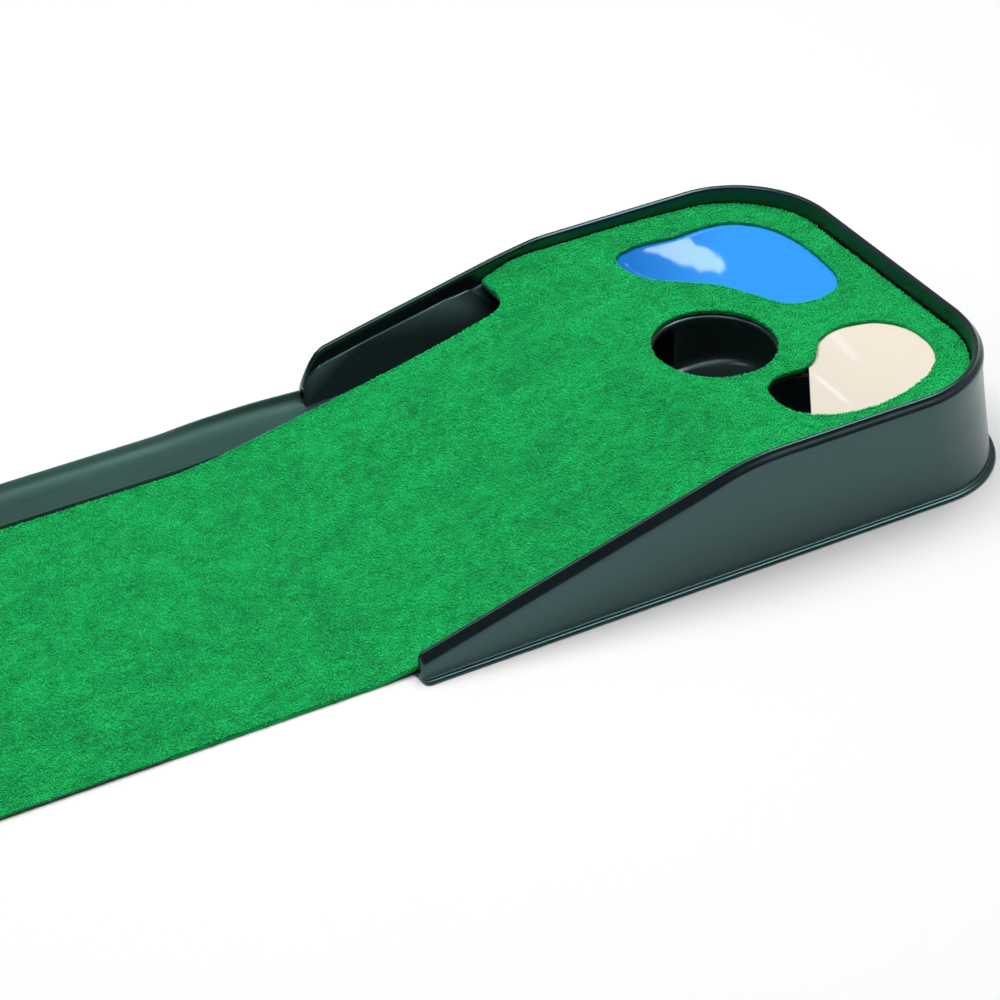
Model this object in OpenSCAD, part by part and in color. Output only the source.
// Practice putting mat: a turf mat that climbs a moulded ramp to a deck with a
// cup, a water hazard and a sand trap, and a gutter that returns the ball.
//
// Frame: X runs along the mat towards the cup, Y to the gutter side, Z up.
// Origin: on the floor, on the mat's centre line, under the ramp's front lip.
// Front is -X, rear +X, right -Y and left +Y.

/* [Mat] */
// Width of the turf
mat_w = 304.8; // [296:0.1:305]
// Thickness of the turf with its backing
turf_t = 4; // [3:0.1:4.5]
// Length of mat that stays flat in front of the ramp when the rest is rolled
flat_len = 240; // [230:1:260]
// Length of mat that rolls up
roll_len = 1974; // [1900:1:2000]
// How much shorter each rolling strip is than the one before it
strip_step = 1.45; // [1.35:0.01:1.6]
// Clear gap between two strips at a fold line
strip_gap = 0.2; // [0.1:0.05:0.4]

/* [Ramp] */
// Length of the slope, from the front lip to the crest
slope_len = 273; // [270:1:276]
// Height of the deck plate's top face
deck_h = 74.7; // [74:0.1:76]
// Wall thickness of the ramp moulding
wall_t = 2.5; // [2.2:0.1:3]
// Height of the raised rim above the deck plate
rim_h = 18.8; // [16:0.1:20]
// Width of the rim
rim_w = 5.5; // [4:0.5:6]
// Radius of the rear corners, to the outside of the rim
corner_r = 68; // [66:1:70]
// How far the foot flange stands out from the walls
flange_w = 8; // [6:0.5:8]

/* [Cup and chute] */
// Inside radius of the cup
cup_r = 47; // [44:0.5:48]
// Depth from the deck to the cup floor at its low side
cup_depth = 46.2; // [45:0.1:47]
// Rise of the cup floor from its low side to its high side
cup_rise = 14; // [8:1:16]
// Inside width of the return chute
chute_w = 45; // [44:0.5:46]
// Heading of the chute from the cup, measured from the X axis
chute_a = 127; // [125:1:129]

/* [Return gutter] */
// Outside width of the gutter
track_w = 44.4; // [44:0.1:45]
// Wall thickness of the gutter
track_t = 1.8; // [1.6:0.1:2]
// Height of the gutter's outer wall
track_h = 11; // [9:0.5:13]
// Length of the lap joint between two gutter sections
lap_len = 35; // [25:1:45]

/* [Hidden] */
$fn = 96;

shell_colour = [0.10, 0.14, 0.14];
cup_colour = [0.03, 0.04, 0.04];
turf_colour = [0.05, 0.53, 0.24];
water_colour = [0.14, 0.55, 0.95];
sand_colour = [0.93, 0.86, 0.76];
track_colour = [0.16, 0.21, 0.20];
steel_colour = [0.7, 0.7, 0.72];
tape_colour = [0.2, 0.2, 0.2];

// Deck and rim
half_w = mat_w / 2;
under = deck_h - wall_t;         // underside of the deck
slope = under / slope_len;       // rise per unit length of the ramp plate
rim_z = deck_h + rim_h;
corner_x = 453;                  // centres of the rear corners
right_corner_y = -93;
left_corner_y = 119;
rear_x = corner_x + corner_r;
left_y = left_corner_y + corner_r;
lip_low = deck_h + 0.05;         // lips of the cup and trays, lying on the deck
lip_top = deck_h + 0.7;

// Cup, catch well and chute
cup_centre = [348, 2];
cup_t = 2;
cup_floor = deck_h - cup_depth;  // top of the cup floor at its exit
well_centre = [372, -88];
well_r = 31;
chute_t = 1.8;
tab_x = [62, 88];                // screw tabs: distances from the cup's centre
tab_out = 6.5;                   // and from the chute's inner faces
tab_r = 4.5;
tab_low = 63.9;
tab_t = 2;

// Return channel in the ramp, open to the sky as far as open_end
chan_right = 135.5;              // inner faces
chan_left = 179;
chan_front = 92;
chan_rear = 288;
chan_t = 2;                      // floor, left wall and end wall
chan_bend = 150;                 // the right wall is oblique in front of this x
chan_mouth_y = 151.1;            // right wall's inner face at its front end
chan_front_h = 24;
open_end = 250;
open_end_r = 20;                 // its rounded corner

// Gutter
track_y0 = half_w + 1.2;
track_y1 = track_y0 + track_w;
track_low_h = 5;                 // inner wall
far_x = -flat_len - roll_len;
lap_x = [-690, -1445];           // section ends

// Oversize of cutting and clipping shapes
reach = 300;
hole_low = 50;                   // from below the deck to above it
hole_high = 100;

// Control points of smooth closed curves, X and Y
// Water hazard
water_points = [
    [347, 131], [353, 149], [375, 155], [405, 152], [436, 153], [460, 147],
    [479, 127], [487, 100], [488, 68], [484, 38], [472, 22], [450, 16],
    [427, 23], [413, 45], [399, 70], [378, 88], [355, 107]];
// Sand trap with its catch well
sand_points = [
    [343, -86], [347, -70], [362, -60], [386, -60], [403, -51], [417, -34],
    [434, -26], [452, -26], [472, -33], [486, -51], [488, -76], [480, -97],
    [463, -113], [436, -124], [407, -130], [378, -127], [356, -117], [345, -102]];
span_steps = 4;

// Catmull-Rom curve through closed control points
function smooth(points) = let (count = len(points)) [
    for (i = [0 : count - 1]) for (j = [0 : span_steps - 1])
        let (t = j / span_steps,
             before = points[(i + count - 1) % count],
             start = points[i],
             end = points[(i + 1) % count],
             after = points[(i + 2) % count])
        0.5 * ((2 * start) + (end - before) * t
               + (2 * before - 5 * start + 4 * end - after) * t * t
               + (3 * start - before - 3 * end + after) * t * t * t)];
function mean(points, i = 0) =
    i == len(points) ? [0, 0] : points[i] / len(points) + mean(points, i + 1);
// Points grown about their mean by a factor
function grown(points, factor) =
    let (middle = mean(points)) [for (point = points) middle + (point - middle) * factor];
function raised(points, rise) = [for (point = points) point + [0, rise]];
function reversed(points) = [for (i = [len(points) - 1 : -1 : 0]) points[i]];
// Closed band of the given height, standing on a bottom line in X and Z
function band(bottom, height) = concat(bottom, reversed(raised(bottom, height)));

// ---- Building blocks ----
// Slab between y0 and y1 whose side view is a profile in X and Z
module side_slab(y0, y1, profile)
    translate([0, y1, 0]) rotate([90, 0, 0]) linear_extrude(y1 - y0) polygon(profile);
module prism(low, high, plan) translate([0, 0, low]) linear_extrude(high - low) polygon(plan);
module disc(centre, r, low, high)
    translate([centre[0], centre[1], low]) cylinder(r = r, h = high - low);
// Box between two opposite corners
module block(from, to) translate(from) cube(to - from);
// The ramp's plan outline, cut off square at x0, with rear corners of radius r
module outline(r, x0, low, high) {
    block([x0, right_corner_y - r, low], [corner_x, left_corner_y + r, high]);
    block([corner_x - 1, right_corner_y, low], [corner_x + r, left_corner_y, high]);
    for (y = [right_corner_y, left_corner_y]) disc([corner_x, y], r, low, high);
}
// Wall that follows the outline, standing on the floor and open at the front
module outline_wall(outer_r, inner_r, top) difference() {
    outline(outer_r, 0, 0, top);
    outline(inner_r, -5, -1, top + 1);
}
// The frame whose X axis runs down the chute, from the cup's centre
module at_chute()
    translate([cup_centre[0], cup_centre[1], 0]) rotate([0, 0, chute_a]) children();
// The four screw places, each with its Y axis pointing away from the chute
module at_tabs() at_chute() for (x = tab_x, side = [-1, 1])
    translate([x, side * (chute_w / 2 + tab_out), 0]) rotate([0, 0, 90 - 90 * side]) children();
// Space lower than the plate's underside by a gap
module under_plate(gap) side_slab(-reach, reach,
    [[0, -60], [0, -gap], [slope_len, under - gap], [700, under - gap], [700, -60]]);

// ---- Ramp moulding ----
// The ledge left of the channel: top line in X and Z
ledge_middle = [[107, 40.5], [145, 49], [216, 64]];
ledge_top = concat([[97, 34]], ledge_middle, [[240, 66.5]]);
ledge_rear = 252;
// Top of the left rim over its rounded front end, X and Z
left_rim_top = [
    [chan_front, 27], [95, 34.5], [99, 43], [104, 49.5], [110, 54], [145, 62],
    [216, 77], [252, 85], [270, 88.6], [288, 91.6], [300, rim_z]];
// Outer face of the channel's right wall, X and Y
chan_back = chan_rear + chan_t;
chan_right_face = [[0, chan_mouth_y - wall_t], [chan_bend, chan_right - wall_t],
                   [chan_back, chan_right - wall_t]];
function chan_floor(x) = 8 + 0.045 * (x - chan_front);

module above_right_rim() side_slab(-reach, right_corner_y + 60,
    [[-20, 15.9], [0, 21.2], [slope_len, rim_z], [slope_len, reach], [-20, reach]]);
module above_left_rim() side_slab(right_corner_y + 60, reach,
    concat([[-20, -1], [chan_front, -1]], left_rim_top, [[300, reach], [-20, reach]]));

// Opening over the channel, with a rounded corner at its right rear
module channel_opening() {
    round_x = open_end - open_end_r;
    round_y = chan_right + open_end_r;
    block([140, chan_right, 20], [round_x, chan_left, 100]);
    block([round_x - 1, round_y, 20], [open_end, chan_left, 100]);
    disc([round_x, round_y], open_end_r, 20, 100);
}
module deck_plate() difference() {
    intersection() {
        side_slab(-reach, reach, [[0, 0], [0, wall_t], [slope_len, deck_h],
                                  [rear_x, deck_h], [rear_x, under], [slope_len, under]]);
        outline(corner_r - 1, 0, -1, 200);
    }
    // the left edge tapers beside the gutter
    prism(-1, 60, [[-1, chan_mouth_y], [chan_bend, chan_right], [chan_bend, reach], [-1, reach]]);
    channel_opening();
    disc(cup_centre, cup_r + cup_t + 0.3, hole_low, hole_high);
    disc(well_centre, well_r, hole_low, hole_high);
    for (points = [water_points, sand_points])
        prism(hole_low, hole_high, smooth(grown(points, 1.03)));
}
// The rim stands on the plate, and beside the channel on the ledge
module rim() difference() {
    outline_wall(corner_r, corner_r - rim_w, rim_z);
    difference() {
        under_plate(0);
        block([chan_front, chan_left, 0], [ledge_rear, chan_left + 20, 100]);
    }
    side_slab(100, reach, concat([[0, -1], [0, 18], [chan_front, 18], [97, 31]],
                                 raised(ledge_middle, -wall_t),
                                 [[ledge_rear, 69.5], [ledge_rear, -1]]));
}
module side_walls() difference() {
    union() {
        outline_wall(corner_r, corner_r - wall_t, rim_z);
        rim();
    }
    above_right_rim();
    above_left_rim();
}
module foot_flange() difference() {
    outline_wall(corner_r + flange_w, corner_r - wall_t, wall_t);
    block([-5, 100, -1], [chan_front, reach, 19]);
}
// Right wall, under the plate's edge, with the opening for the chute
module channel_right_wall() {
    gap = chute_t + 0.5;
    difference() {
        intersection() {
            prism(0, 100, concat(chan_right_face, [[chan_back, chan_right],
                                 [chan_bend, chan_right], [0, chan_mouth_y]]));
            under_plate(-1);
        }
        intersection() {
            at_chute() block([100, -chute_w / 2 - gap, 0], [186, chute_w / 2 + gap, under - 2]);
            side_slab(100, chan_right + 0.1,
                [[150, chan_floor(150)], [400, chan_floor(400)], [400, 80], [150, 80]]);
        }
    }
}
module channel() {
    channel_right_wall();
    // floor
    intersection() {
        side_slab(100, chan_left + chan_t,
            band([for (x = [chan_front, chan_back]) [x, chan_floor(x) - chan_t]], chan_t));
        prism(0, 100, concat(chan_right_face, [[chan_back, 200], [0, 200]]));
    }
    // left wall up to the ledge, and on under the deck
    side_slab(chan_left, chan_left + chan_t, concat(
        [[chan_front, chan_floor(chan_front) - chan_t], [chan_front, chan_front_h], [97, 34]],
        ledge_middle,
        [[245, 66.5], [slope_len, under + 1], [chan_back, under + 1], [chan_back, 14.8]]));
    // ledge
    side_slab(chan_left, left_y - 1, band(ledge_top, -wall_t));
    // front face beside the gutter
    block([chan_front, chan_left, 0], [chan_front + wall_t, left_y, chan_front_h]);
    // end wall
    block([chan_rear, chan_right - wall_t, 15], [chan_back, chan_left + chan_t, under + 1]);
}
module ramp_shell() color(shell_colour) difference() {
    union() {
        deck_plate();
        side_walls();
        foot_flange();
        channel();
        // screw bosses under the deck
        at_tabs() disc([0, 0], 3.6, 66, under + 0.8);
    }
    at_tabs() translate([0, 0, 60]) cylinder(r = 1.45, h = 11.5, $fn = 32);
}

// ---- Cup, with a sloping floor and an exit into the chute ----
cup_clip = 60;                   // half-size of the clipping slabs
function cup_floor_z(x) = cup_floor + cup_rise * (cup_r - x) / (2 * cup_r);
module below_cup_floor() at_chute() side_slab(-cup_clip, cup_clip,
    [[-cup_clip, -5], [cup_clip, -5],
     [cup_clip, cup_floor_z(cup_clip)], [-cup_clip, cup_floor_z(-cup_clip)]]);
module above_cup_base() at_chute() side_slab(-cup_clip, cup_clip,
    [[-cup_clip, cup_floor_z(-cup_clip) - cup_t], [cup_clip, cup_floor_z(cup_clip) - cup_t],
     [cup_clip, 90], [-cup_clip, 90]]);
module cup() color(cup_colour) difference() {
    union() {
        intersection() {
            difference() {
                disc(cup_centre, cup_r + cup_t, 0, lip_top);
                difference() {
                    disc(cup_centre, cup_r, -1, 99);
                    below_cup_floor();
                }
            }
            above_cup_base();
        }
        // lip that hangs on the deck
        difference() {
            disc(cup_centre, cup_r + 8, lip_low, lip_top);
            disc(cup_centre, cup_r, hole_low, hole_high);
        }
    }
    // exit into the chute
    at_chute() block([40, -chute_w / 2, cup_floor], [60, chute_w / 2, under - 2]);
}

// ---- Small well at the low corner of the sand trap ----
well_top = under - 0.1;
well_base = 36;
module catch_well() color(cup_colour) difference() {
    union() {
        disc(well_centre, well_r + 1.8, well_base, well_top);
        disc(well_centre, well_r + 5, well_top - 2, well_top);
    }
    disc(well_centre, well_r, well_base + 2, 98);
}

// ---- Chute from the cup to the channel ----
chute_slope = 0.07;
function chute_floor(x) = cup_floor - 0.5 - chute_slope * (x - cup_r - cup_t);
module trough() difference() {
    side_slab(-chute_w / 2 - chute_t, chute_w / 2 + chute_t,
        [[30, chute_floor(30) - chute_t], [210, chute_floor(210) - chute_t], [210, 90], [30, 90]]);
    side_slab(-chute_w / 2, chute_w / 2,
        [[20, chute_floor(20)], [220, chute_floor(220)], [220, 100], [20, 100]]);
}
module screw_tab() difference() {
    union() {
        disc([0, 0], tab_r, tab_low, tab_low + tab_t);
        block([-tab_r, 1 - tab_out, tab_low], [tab_r, 0, tab_low + tab_t]);
    }
    translate([0, 0, 60]) cylinder(r = 1.7, h = 10, $fn = 32);
}
module return_chute() color(cup_colour) difference() {
    intersection() {
        union() {
            at_chute() trough();
            at_tabs() screw_tab();
        }
        under_plate(0.5);
        // the chute ends at the channel's right wall
        block([100, -100, 0], [500, chan_right - wall_t - 0.2, 100]);
    }
    disc(cup_centre, cup_r + cup_t + 0.4, -1, 99);
}
// Head and shank of each screw
module chute_screws() color(steel_colour) at_tabs() translate([0, 0, 62.1]) {
    cylinder(r = 3, h = 1.75, $fn = 32);
    cylinder(r = 1.4, h = 9, $fn = 32);
}

// ---- Hazard trays: a shallow dish with a thin lip that lies on the deck ----
// The hollow is deepest at its centre and runs out at radius r, in four cones
dish_depth = 2.1;
module hollow(centre, r)
    translate([centre[0], centre[1], lip_top - dish_depth]) rotate_extrude()
        polygon(concat([for (i = [0 : 4]) [r * i / 4, dish_depth * pow(i / 4, 2)]],
                       [[r, 20], [0, 20]]));
module tray(points, centre, r) difference() {
    union() {
        prism(under + 0.1, lip_top, smooth(grown(points, 1.01)));
        prism(lip_low, lip_top, smooth(grown(points, 1.09)));
    }
    hollow(centre, r);
}
module water_tray() color(water_colour) tray(water_points, centre = [425, 88], r = 78);
module sand_tray() color(sand_colour) difference() {
    tray(sand_points, centre = [428, -78], r = 62);
    // cut edge over the catch well
    prism(60, 90, [[392.4, -57.8], [359, -109.7], [333, -150], [300, -150], [300, 0], [429.5, 0]]);
}

// ---- Hook tape that holds the turf to the plate ----
tape_gap = 0.05;
tape_t = 0.75;
slope_tape_w = 25;
deck_tape_w = 12;
// Bands across the deck: x, y0 and y1
deck_tapes = [[276, -140, 140], [497, -90, 110]];
function slope_top(x) = wall_t + slope * x;
module hook_strips() color(tape_colour) {
    for (x = [12, 120]) side_slab(-140, 120,
        band([for (end = [x, x + slope_tape_w]) [end, slope_top(end) + tape_gap]], tape_t));
    for (tape = deck_tapes) translate([tape[0], tape[1], deck_h + tape_gap])
        cube([deck_tape_w, tape[2] - tape[1], tape_t]);
}

// ---- Turf ----
turf_lift = 0.9;                 // room for the tape between plate and turf
turf_start = -flat_len + strip_gap / 2;
turf_edge_y = 138;               // left edge beside the channel
turf_end = open_end - 1;         // edge at the rear of the channel's opening
turf_end_r = 17.5;               // its rounded corner
turf_round_x = turf_end - turf_end_r;
turf_round_y = turf_edge_y + turf_end_r;
turf_corner_r = 60.5;
// Underside of the turf, X and Z
turf_bottom = [[turf_start, 0], [-30, 0], [0, wall_t + turf_lift],
               [slope_len, deck_h + turf_lift], [rear_x - 8, deck_h + turf_lift]];
module turf_ramp() color(turf_colour) difference() {
    intersection() {
        side_slab(-200, 200, band(turf_bottom, turf_t));
        union() {
            // flat mat, and the slope beside the gutter and channel
            prism(-5, 120, [
                [-flat_len - 1, -half_w], [corner_x, -half_w], [corner_x, turf_edge_y],
                [190, turf_edge_y], [140, 140.5], [92, 144.5], [0, half_w],
                [-flat_len - 1, half_w]]);
            // full deck
            intersection() {
                outline(turf_corner_r, turf_round_x, 0, 120);
                block([0, -half_w, 0], [600, half_w * 2, 200]);
            }
        }
    }
    // the opening's rear end, with its rounded corner
    disc([turf_round_x, turf_round_y], turf_end_r, 20, 100);
    block([turf_round_x - 1, turf_round_y, 20], [turf_end, turf_round_y + 60, 100]);
    disc(cup_centre, cup_r + 1.2, hole_low, hole_high);
    for (points = [water_points, sand_points]) prism(hole_low, hole_high, smooth(points));
}

// ---- Return gutter, in three sections that lap over each other ----
module gutter(x0, x1) {
    block([x0, track_y0, 0], [x1, track_y1, track_t]);
    block([x0, track_y1 - track_t, 0], [x1, track_y1, track_h]);
    block([x0, track_y0, 0], [x1, track_y0 + track_t, track_low_h]);
}
// Recess under the low end of a section, and the tongue that fits in it
module lap_recess(x)
    translate([x - 0.1, track_y0 + 5, -0.1]) cube([lap_len + 0.6, track_w - 10, 1.1]);
module lap_tongue(x)
    translate([x - 1, track_y0 + 5.5, 0]) cube([lap_len + 1, track_w - 11, 0.9]);
module recessed_gutter(x0, x1) difference() {
    gutter(x0 + 0.2, x1);
    lap_recess(x0 + 0.2);
}

// The upper end climbs to the channel and follows the ramp's tapering edge
climb_start = -20;
climb_joint = climb_start - 1;   // it overlaps the straight gutter
climb_end = chan_front - 0.3;
climb_end_y = 142.9;             // right side of its upper end
// Underside, X and Z
climb_bottom = [[climb_joint, 0], [climb_start, 0], [50, 5.6], [climb_end, 6.2]];
// Side view from the underside up to the given heights at three stations
module climb_side(end_z, middle_z, start_z) side_slab(130, 200, concat(climb_bottom,
    [[climb_end, end_z], [50, middle_z], [climb_start, start_z], [climb_joint, start_z]]));
// Plan view between two sides, from y0 and y1 to end_y0 and end_y1
module climb_plan(y0, y1, end_y0, end_y1) prism(-1, 40,
    [[climb_joint, y0], [0, y0], [climb_end, end_y0], [climb_end, end_y1], [0, y1],
     [climb_joint, y1]]);
module track_climb() intersection() {
    union() {
        side_slab(130, 200, band(climb_bottom, track_t));
        intersection() {
            climb_plan(track_y1 - track_t, track_y1, left_y - track_t, left_y);
            climb_side(19.5, 18, track_h);
        }
        intersection() {
            climb_plan(track_y0, track_y0 + track_t, climb_end_y, climb_end_y + track_t);
            climb_side(12.7, 11.2, track_low_h);
        }
    }
    climb_plan(track_y0, track_y1, climb_end_y, left_y);
}
module track_upper() color(track_colour) {
    recessed_gutter(lap_x[0], climb_start);
    track_climb();
    // tongue under the channel floor
    side_slab(148, 172, [[76, 4.2], [110, 4.2], [110, 5.7], [climb_end, 5.7],
                         [climb_end, 7], [76, 7]]);
}
module track_middle() color(track_colour) {
    recessed_gutter(lap_x[1], lap_x[0]);
    lap_tongue(lap_x[0]);
}
module track_lower() color(track_colour) {
    gutter(far_x, lap_x[1]);
    lap_tongue(lap_x[1]);
}
module track_end_stop() color(track_colour) difference() {
    block([far_x - 4, track_y0 - 0.8, 0], [far_x + 14, track_y1 + 2.2, 24]);
    // pocket for the gutter's end, and the space above the gutter's floor
    block([far_x - 0.2, track_y0 - 0.3, -1], [far_x + 19.8, track_y1 + 0.3, track_h + 0.2]);
    block([far_x - 0.2, track_y0 + track_t, 3], [far_x + 19.8, track_y1 - track_t, 33]);
    // sloping cheeks
    side_slab(100, 250,
        [[far_x, 25], [far_x + 15, 25], [far_x + 15, track_h + 4], [far_x + 2, 24.5]]);
}

// ---- The 24 turf strips of the mat, from the ramp to the far end ----
n_strips = 24;
first_strip = (roll_len + strip_step * n_strips * (n_strips - 1) / 2) / n_strips;
// Fold line after the given number of strips
function fold_x(count) = -flat_len - count * first_strip + strip_step * count * (count - 1) / 2;
module turf_strip(number) color(turf_colour)
    block([fold_x(number) + strip_gap / 2, -half_w, 0],
          [fold_x(number - 1) - strip_gap / 2, half_w, turf_t]);
module mat_strip_01() turf_strip(1);
module mat_strip_02() turf_strip(2);
module mat_strip_03() turf_strip(3);
module mat_strip_04() turf_strip(4);
module mat_strip_05() turf_strip(5);
module mat_strip_06() turf_strip(6);
module mat_strip_07() turf_strip(7);
module mat_strip_08() turf_strip(8);
module mat_strip_09() turf_strip(9);
module mat_strip_10() turf_strip(10);
module mat_strip_11() turf_strip(11);
module mat_strip_12() turf_strip(12);
module mat_strip_13() turf_strip(13);
module mat_strip_14() turf_strip(14);
module mat_strip_15() turf_strip(15);
module mat_strip_16() turf_strip(16);
module mat_strip_17() turf_strip(17);
module mat_strip_18() turf_strip(18);
module mat_strip_19() turf_strip(19);
module mat_strip_20() turf_strip(20);
module mat_strip_21() turf_strip(21);
module mat_strip_22() turf_strip(22);
module mat_strip_23() turf_strip(23);
module mat_strip_24() turf_strip(24);

ramp_shell();
cup();
catch_well();
return_chute();
chute_screws();
water_tray();
sand_tray();
hook_strips();
turf_ramp();
track_upper();
track_middle();
track_lower();
track_end_stop();
mat_strip_01();
mat_strip_02();
mat_strip_03();
mat_strip_04();
mat_strip_05();
mat_strip_06();
mat_strip_07();
mat_strip_08();
mat_strip_09();
mat_strip_10();
mat_strip_11();
mat_strip_12();
mat_strip_13();
mat_strip_14();
mat_strip_15();
mat_strip_16();
mat_strip_17();
mat_strip_18();
mat_strip_19();
mat_strip_20();
mat_strip_21();
mat_strip_22();
mat_strip_23();
mat_strip_24();
